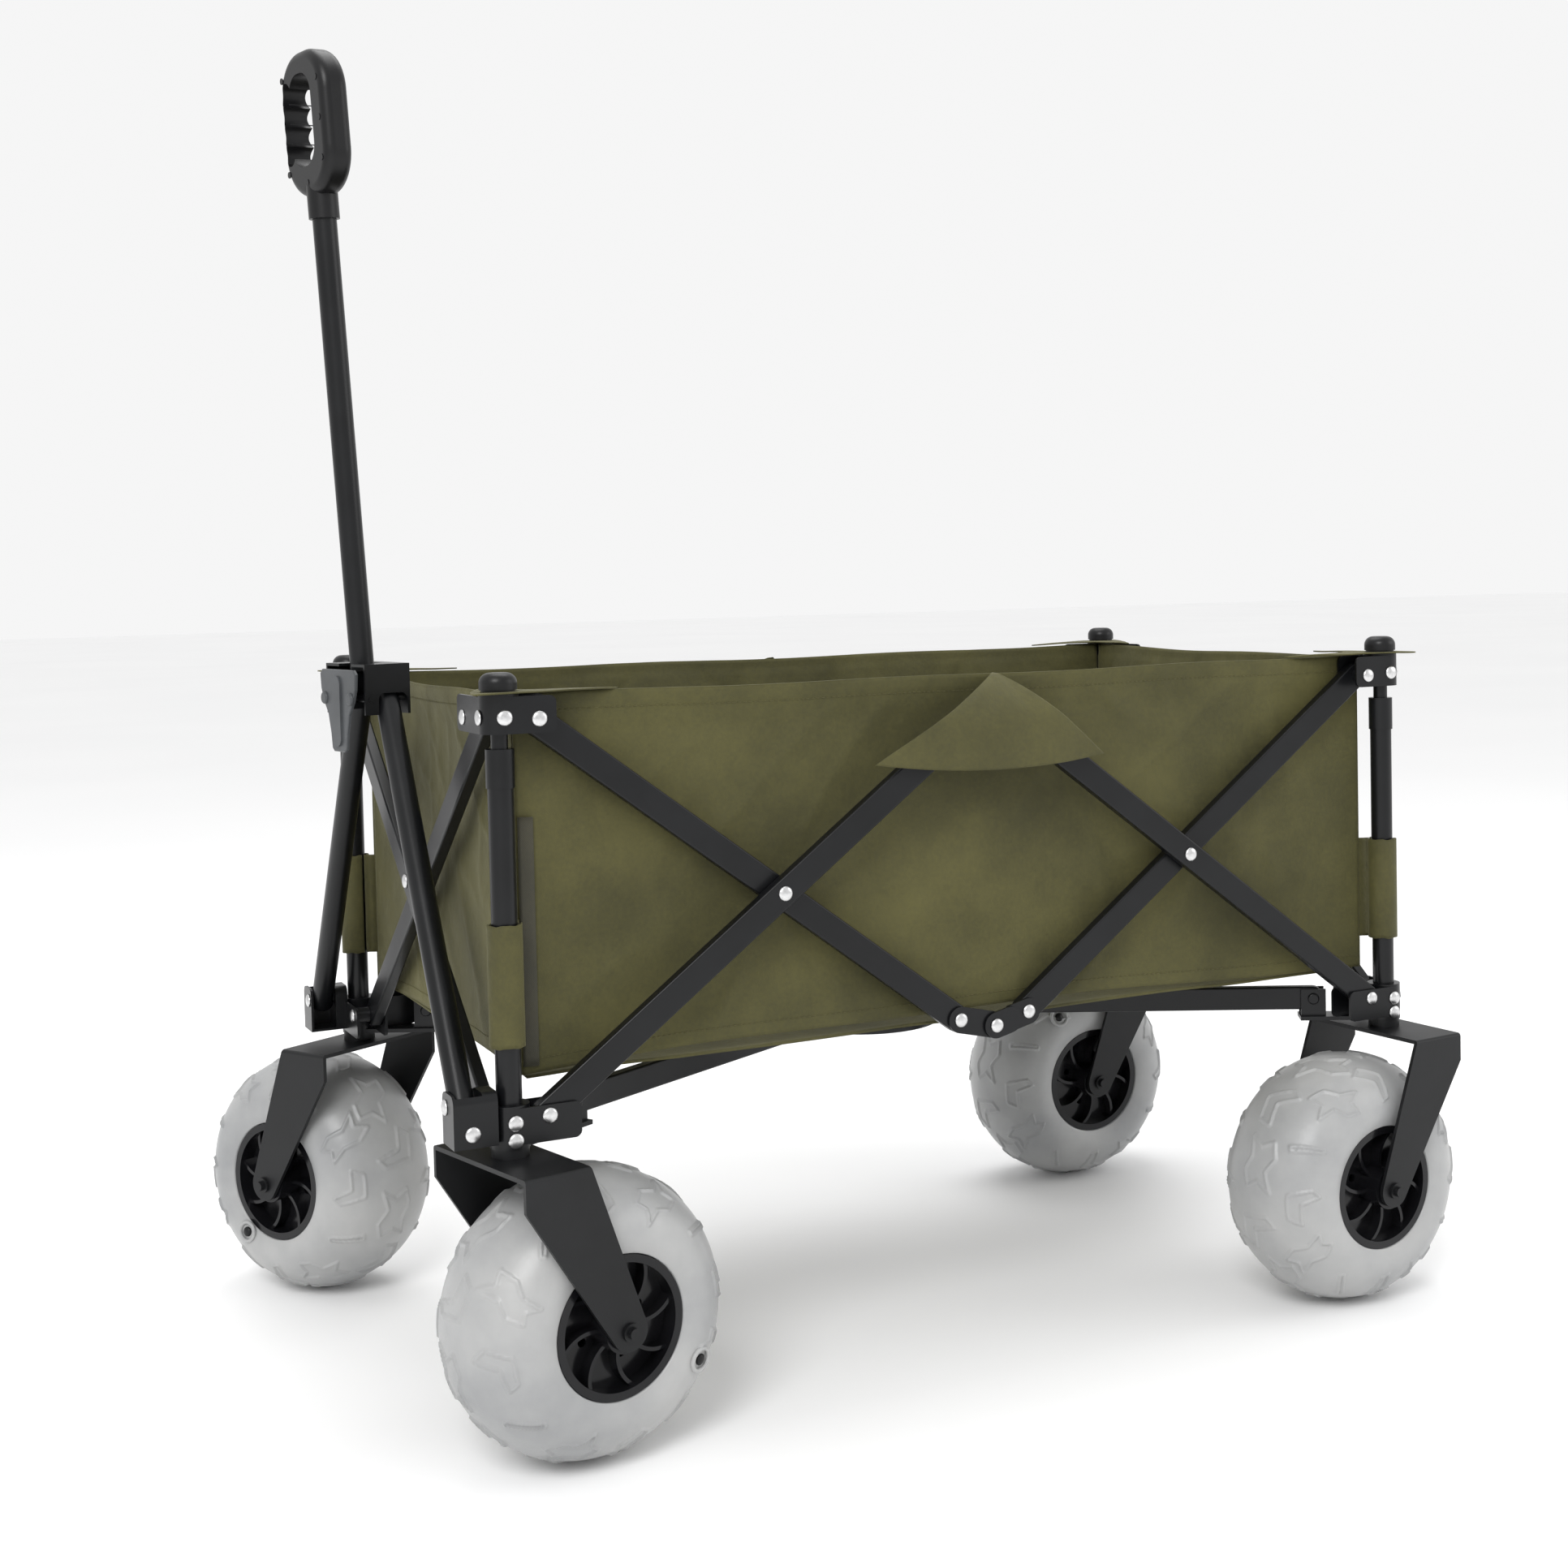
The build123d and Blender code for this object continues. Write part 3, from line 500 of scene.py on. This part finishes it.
def sleeve_path(corner):
    """From the wall's edge, round the post and back to the wall."""
    sx, sy = SIGNS[corner]
    points = []
    along_x = corner in ("nf", "fb")
    start = (18.5, 17.0) if along_x else (17.0, 18.5)
    points.append(start)
    first = math.radians(32) if along_x else math.radians(58)
    turns = 40
    for k in range(turns + 1):
        angle = first + (math.radians(360 - 12) * k / turns) * (1 if along_x else -1)
        r = 13.9
        points.append((r * math.cos(angle), r * math.sin(angle)))
    return [(sx * (POST_X - u), sy * (POST_Y - v)) for u, v in points]


for corner, seed in (("nf", 1.0), ("nb", 2.0), ("ff", 3.0), ("fb", 4.0)):
    sleeve = strap("sleeve_" + corner, sleeve_path(corner), 368.5, 472.5, 1.2, cloth_side,
                   TOPS[corner], 0.3, seed)

# a dark cloth strip at the near wall's front corner: painted shade where that corner lies in shadow
strip_x = np.linspace(-454.5, -441.0, 6)
strip_path = [(x, -WALL_Y - 0.9) for x in strip_x[::-1]]
painted_shade_strip = strap("corner_shade_strip", strip_path, 345, 560, 1.0, painted_shade_cloth, TOPS["nf"], 0.1, 7.0)


def corner_tab(corner):
    """The cloth tab that lies on an upper bracket under the cap and runs into the hems of both walls."""
    sx, sy = SIGNS[corner]
    ring, rows = 72, 12
    outline = [(112, 17), (84, 6), (48, -9), (10, -21), (-14, -27), (-27, -27), (-27, -14), (-21, 10),
               (-10, 40), (6, 68), (17, 92), (20, 60), (24, 30), (30, 24), (60, 20)]
    outline = np.array(outline, float)
    closed = np.vstack([outline, outline[:1]])
    seg = np.concatenate([[0], np.cumsum(np.linalg.norm(np.diff(closed, axis=0), axis=1))])
    grid = np.zeros((rows, ring, 3))
    for j in range(ring):
        at = seg[-1] * j / ring
        edge = np.array([np.interp(at, seg, closed[:, c]) for c in (0, 1)])
        inner = edge / np.linalg.norm(edge) * 14.8
        for i in range(rows):
            t = i / (rows - 1)
            u, v = inner + (edge - inner) * t
            far = math.hypot(u, v)
            z = 669.2 + 0.7 * bump_noise(u * 0.03, v * 0.03, sx + 2 * sy) - 0.0009 * max(0, far - 20) ** 1.6
            grid[i, j] = (sx * (POST_X - u), sy * (POST_Y - v), z)
    top = grid.reshape(-1, 3)
    low = top - (0, 0, 1.3)
    count = rows * ring
    flip = sx * sy < 0
    faces = grid_faces(rows, ring, flip=flip, wrap_cols=True)
    faces += grid_faces(rows, ring, count, flip=not flip, wrap_cols=True)
    for j in range(ring):
        k = (j + 1) % ring
        for base, way in ((0, flip), ((rows - 1) * ring, not flip)):
            quad = [base + k, base + j, base + j + count, base + k + count]
            faces.append(quad[::-1] if way else quad)
    piece = mesh_object("corner_tab_" + corner, np.concatenate([top, low]), faces, cloth_flat)
    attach(piece, TOPS[corner])
    return piece


for corner in SIGNS:
    corner_tab(corner)


def side_flap(name, sign, corner):
    """The pointed flap that hangs from the hem over the upper middle hinge."""
    rows, cols = 44, 76
    grid = np.zeros((rows, cols, 3))
    for i in range(rows):
        v = i / (rows - 1)
        for j in range(cols):
            u = -1 + 2 * j / (cols - 1)
            low_x = (-131 + 115) / 2 + 123 * u
            low_z = 586 - 9 * (1 - u * u) - 1.5 * u
            width = v ** 0.92
            apex_x, apex_z = 13.0, 665.5
            x = apex_x + (low_x - apex_x) * width
            round_top = 6.0 * math.sin(math.pi * v) * (1 - abs(u)) * 0.4
            z = apex_z + (low_z - apex_z) * v + round_top
            out = 1.2 + 44.0 * math.sin(min(1.0, v * 1.6) * math.pi / 2) ** 0.75
            out -= 9.0 * abs(u) ** 2.2 * v
            out += 1.1 * bump_noise(x * 0.03, z * 0.03, 3 * sign)
            out += 1.4 * math.sin(u * 7 + v * 3) * (1 - v) * v * 2
            grid[i, j] = (x, sign * (WALL_Y + 1.2 + out), z)
    if sign > 0:
        grid = grid[:, ::-1]
    piece = shell(name, grid, -1.2, cloth_side)
    finish_cloth(piece, TOPS[corner])
    return grid


for name, sign, corner in (("near", -1, "nf"), ("far", 1, "fb")):
    side_flap("side_flap_" + name, sign, corner)


# ---------------------------------------------------------------- rivet heads
rivets = {}


def head(body, centre, out, radius=6.8, height=3.2):
    """Notes one rivet head on a body."""
    rivets.setdefault(body, []).append(dome(centre, out, radius, height))


for side, sign in (("n", -1), ("f", 1)):
    y_out, y_in = sign * (POST_Y + 8), sign * (POST_Y - 5.5)
    rise = (SIDE_PIVOT - KNUCKLE_X) * (Z_MID - Z_LOW) / (SIDE_PIVOT - X_PIVOT)
    for end, ex in (("f", -1), ("b", 1)):
        outer, inner = "arm_outer_" + side + end, "arm_inner_" + side + end
        head(outer, (ex * X_PIVOT, y_out + sign * 6, Z_MID), (0, sign, 0))
        head(outer, (ex * X_PIVOT, y_in - sign * 6, Z_MID), (0, -sign, 0))
        head(outer, (ex * KNUCKLE_X, y_out + sign * 8.5, Z_LOW + rise), (0, sign, 0))
        head(inner, (ex * KNUCKLE_X, y_in + sign * 8.5, Z_UP - rise), (0, sign, 0))
    head("arm_outer_" + side + "f", (0, y_out + sign * 11.5, Z_UP - 22), (0, sign, 0))
    head("arm_inner_" + side + "f", (0, y_in + sign * 11.5, Z_LOW + 22), (0, sign, 0))
for end, ex in (("f", -1), ("b", 1)):
    head("end_outer_" + end, (ex * (POST_X + 14), 0, Z_MID), (ex, 0, 0))
    head("end_outer_" + end, (ex * (POST_X - 11.5), 0, Z_MID), (-ex, 0, 0))
for corner, (sx, sy) in SIGNS.items():
    px, py = sx * POST_X, sy * POST_Y
    for body, z in ((CORNERS[corner], Z_LOW), (TOPS[corner], Z_UP)):
        head(body, (px - sx * 30, py + sy * 17, z), (0, sy, 0))
        head(body, (px + sx * 17, py - sy * 48.5, z), (sx, 0, 0))
    for z in (306, 291):
        head(CORNERS[corner], (px, py + sy * 17, z), (0, sy, 0))
    head(CORNERS[corner], (px + sx * 17, py, 306), (sx, 0, 0))
    head(TOPS[corner], (px, py + sy * 17, Z_UP + 2), (0, sy, 0))
    head(TOPS[corner], (px + sx * 17, py, Z_UP + 2), (sx, 0, 0))
for corner in ("nf", "ff"):
    sx, sy = SIGNS[corner]
    px, py = sx * POST_X, sy * POST_Y
    head(CORNERS[corner], (px - 53, py - sy * 6, 322), (-1, 0, 0))
    head(CORNERS[corner], (px - 37, py + sy * 18, 302), (0, sy, 0))
for body, parts in rivets.items():
    piece = merge("rivets_" + body, parts, zinc)
    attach(piece, body)


# ---------------------------------------------------------------- tyres
def motif(kind):
    """A raised closed outline, in units of about 20 mm, drawn flat."""
    shapes = {
        0: [(-1.6, 0.9), (-0.4, 0.5), (0.5, 1.0), (1.5, 0.7), (1.1, 0.0),
            (1.6, -0.8), (0.4, -0.5), (-0.5, -0.9), (-1.5, -0.6), (-1.0, 0.1)],
        1: [(-1.2, 1.0), (0.0, 0.2), (1.2, 0.9), (1.3, 0.2), (0.0, -0.8), (-1.3, 0.1)],
        2: [(-1.5, 0.25), (1.5, 0.55), (1.5, 0.2), (-1.5, -0.2)],
    }
    return np.array(shapes[kind] + shapes[kind][:1], float)


def ridge_field(a, b):
    """Height of the raised outlines over the tread: a runs round the tyre and b across it, in mm."""
    height = np.zeros_like(a)
    round_it = 2 * math.pi * WHEEL_R
    places = []
    for k in range(12):
        places.append(((k + 0.5) * round_it / 12, 0.0 if k % 2 else 8.0, k % 2, 0.4 * (k % 3)))
        places.append((k * round_it / 12, 52.0, (k + 1) % 3, 0.6 + 0.5 * (k % 2)))
        places.append((k * round_it / 12 + 12, -52.0, (k + 1) % 3, -0.7 - 0.4 * (k % 2)))
    for centre_a, centre_b, kind, turn in places:
        shape = motif(kind) * (17.0 if kind != 2 else 12.0)
        c, s = math.cos(turn), math.sin(turn)
        shape = shape @ np.array([[c, s], [-s, c]])
        near_a = (a - centre_a + round_it / 2) % round_it - round_it / 2
        near_b = b - centre_b
        close = (np.abs(near_a) < 38) & (np.abs(near_b) < 34)
        pa, pb = near_a[close], near_b[close]
        best = np.full(pa.shape, 1e9)
        for (x0, y0), (x1, y1) in zip(shape[:-1], shape[1:]):
            dx, dy = x1 - x0, y1 - y0
            t = np.clip(((pa - x0) * dx + (pb - y0) * dy) / (dx * dx + dy * dy), 0, 1)
            best = np.minimum(best, np.hypot(pa - x0 - t * dx, pb - y0 - t * dy))
        height[close] = np.maximum(height[close], np.exp(-(best / 1.3) ** 4))
    return height


def tyre(corner):
    """A balloon tyre with raised outlines, in place on its wheel."""
    across, turns = 170, 420
    radius = (WHEEL_R + 27) / 2
    lim = math.acos((BEAD_R + 0.4 - radius) / (WHEEL_R - radius - 0.6))
    psi = np.linspace(-lim, lim, across)
    theta = np.linspace(0, 2 * math.pi, turns, endpoint=False)
    big, small = np.meshgrid(theta, psi)
    semi_r, semi_y = WHEEL_R - radius - 1.0, TYRE_HALF - 1.0
    rib = ridge_field(big * WHEEL_R, small * (semi_r + semi_y) / 2) * 2.0
    lump = np.vectorize(lambda t, p: bump_noise(math.cos(t) * 2.2, math.sin(t) * 2.2, p * 1.4))
    lumps = lump(big[:, ::6], small[:, ::6])
    lumps = np.repeat(lumps, 6, axis=1)[:, :turns]
    lumps = (lumps + np.roll(lumps, 3, axis=1) + np.roll(lumps, -3, axis=1)) / 3
    r = radius + (semi_r + rib - 0.5 + 0.25 * lumps) * np.cos(small)
    y = (semi_y + rib - 0.5) * np.sin(small)
    outer = np.stack([r * np.cos(big), y, r * np.sin(big)], axis=2)
    band_y = np.linspace(y[-1, 0], y[0, 0], 8)[1:-1]
    band = np.zeros((len(band_y), turns, 3))
    for i, by in enumerate(band_y):
        band[i, :, 0] = (BEAD_R + 0.2) * np.cos(theta)
        band[i, :, 1] = by
        band[i, :, 2] = (BEAD_R + 0.2) * np.sin(theta)
    rows = np.concatenate([outer, band, outer[:1]])
    points = rows[:-1].reshape(-1, 3)
    faces = grid_faces(len(rows) - 1, turns, wrap_cols=True)
    last = (len(rows) - 2) * turns
    for j in range(turns):
        k = (j + 1) % turns
        faces.append([last + j, last + k, k, j])
    piece = mesh_object("balloon_" + corner, wheel_place(points, corner), faces, polymer)
    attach(piece, "wheel_" + corner)
    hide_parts("tyre_" + corner)
    return piece


def wheel_place(points, corner, roll=0.0):
    """Points about an axle along Y, moved to a caster's wheel."""
    yaw = math.radians(YAWS[corner])
    sx, sy = SIGNS[corner]
    points = np.asarray(points, float)
    c, s = math.cos(roll), math.sin(roll)
    x = points[:, 0] * c - points[:, 2] * s + TRAIL
    z = points[:, 0] * s + points[:, 2] * c + AXLE_Z
    y = points[:, 1]
    along = sx * POST_X + x * math.cos(yaw) - y * math.sin(yaw)
    across = sy * POST_Y + x * math.sin(yaw) + y * math.cos(yaw)
    return np.stack([along, across, z], axis=1)


def valve_plug(corner, side, angle, at=0.42):
    """The black valve plug in a tyre's side wall and the raised ring round it."""
    radius = (WHEEL_R + 27) / 2
    r = radius + (WHEEL_R - radius) * math.cos(math.pi / 2 - at)
    y = side * TYRE_HALF * math.sin(math.pi / 2 - at)
    centre = Vector((r * math.cos(angle), y, r * math.sin(angle)))
    out = Vector((math.cos(angle) * math.tan(at), side, math.sin(angle) * math.tan(at))).normalized()
    ring_points, ring_faces = torus(centre - out * 0.6, out, 10.0, 2.0)
    ring = merge("valve_ring_" + corner, [(wheel_place(ring_points, corner), ring_faces)], polymer)
    cup_points, cup_faces = dome(centre - out * 1.5, out, 5.2, 3.4)
    cup = merge("valve_plug_" + corner, [(wheel_place(cup_points, corner), cup_faces)], moulded)
    for piece, slot in ((ring, "tyre"), (cup, "cap_plastic")):
        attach(piece, "wheel_" + corner)


def torus(centre, out, big, small, sides=28, ring=10):
    """A ring about an axis."""
    turn = Vector(out).normalized().to_track_quat("Z", "Y").to_matrix()
    points = []
    for i in range(sides):
        a = 2 * math.pi * i / sides
        for j in range(ring):
            b = 2 * math.pi * j / ring
            r = big + small * math.cos(b)
            spot = Vector((r * math.cos(a), r * math.sin(a), small * math.sin(b)))
            points.append(tuple(centre + turn @ spot))
    faces = grid_faces(sides, ring, wrap_cols=True)
    for j in range(ring):
        k = (j + 1) % ring
        faces.append([(sides - 1) * ring + j, (sides - 1) * ring + k, k, j])
    return points, faces


for corner in SIGNS:
    tyre(corner)
valve_plug("nf", -1, math.radians(-31), 0.3)
valve_plug("ff", 1, math.radians(-55), -0.1)
valve_plug("nb", 1, math.radians(120))
valve_plug("fb", 1, math.radians(60))


# ---------------------------------------------------------------- floor, lights, camera
def studio():
    """A pale floor, a pale surround and soft lights."""
    material, nodes, links, shader = new_material("studio_floor")
    tint = scaled_noise(nodes, links, 0.6, 2.0)
    colour = ramp(nodes, links, tint.outputs["Fac"], (0.95, 0.95, 0.952), (0.975, 0.975, 0.975))
    links.new(colour.outputs["Color"], shader.inputs["Base Color"])
    shader.inputs["Roughness"].default_value = 0.7
    data = bpy.data.meshes.new("studio_floor")
    data.from_pydata([(-30, -30, 0), (30, -30, 0), (30, 30, 0), (-30, 30, 0)], [], [(0, 1, 2, 3)])
    data.materials.append(material)
    floor = bpy.data.objects.new("studio_floor", data)
    floor.location = (0, 0, -0.0004)
    bpy.context.scene.collection.objects.link(floor)
    world = bpy.data.worlds.new("studio")
    world.use_nodes = True
    world.node_tree.nodes["Background"].inputs["Color"].default_value = (1.0, 1.0, 1.0, 1)
    world.node_tree.nodes["Background"].inputs["Strength"].default_value = 0.92
    bpy.context.scene.world = world
    lamps = (("key", (-2.6, -3.2, 3.4), 2.2, 125), ("fill", (3.6, -2.4, 2.0), 2.6, 30),
             ("top", (0.3, 0.8, 3.6), 2.6, 45))
    for name, spot, size, power in lamps:
        lamp = bpy.data.lights.new(name, "AREA")
        lamp.shape, lamp.size, lamp.energy = "DISK", size, power
        light = bpy.data.objects.new(name, lamp)
        light.location = spot
        light.rotation_euler = (Vector((0, 0, 0.4)) - Vector(spot)).to_track_quat("-Z", "Y").to_euler()
        bpy.context.scene.collection.objects.link(light)


def camera():
    """The camera at the photograph's viewing angle."""
    azimuth, elevation, roll = math.radians(-28.3), math.radians(2.3), math.radians(-1.1)
    flat = math.cos(elevation)
    back = Vector((math.sin(azimuth) * flat, -math.cos(azimuth) * flat, math.sin(elevation)))
    lens = bpy.data.cameras.new("camera")
    lens.lens, lens.sensor_width = 49.45, 36.0
    lens.shift_x, lens.shift_y = -0.1025, -0.0840
    lens.clip_end = 200
    body = bpy.data.objects.new("camera", lens)
    turn = back.to_track_quat("Z", "Y").to_matrix().to_4x4() @ Matrix.Rotation(roll, 4, "Z")
    body.matrix_world = Matrix.Translation(row(-999.5, -2043.9, 767.9)) @ turn
    bpy.context.scene.collection.objects.link(body)
    bpy.context.scene.camera = body


studio()
camera()
bpy.context.scene.view_settings.view_transform = "Standard"
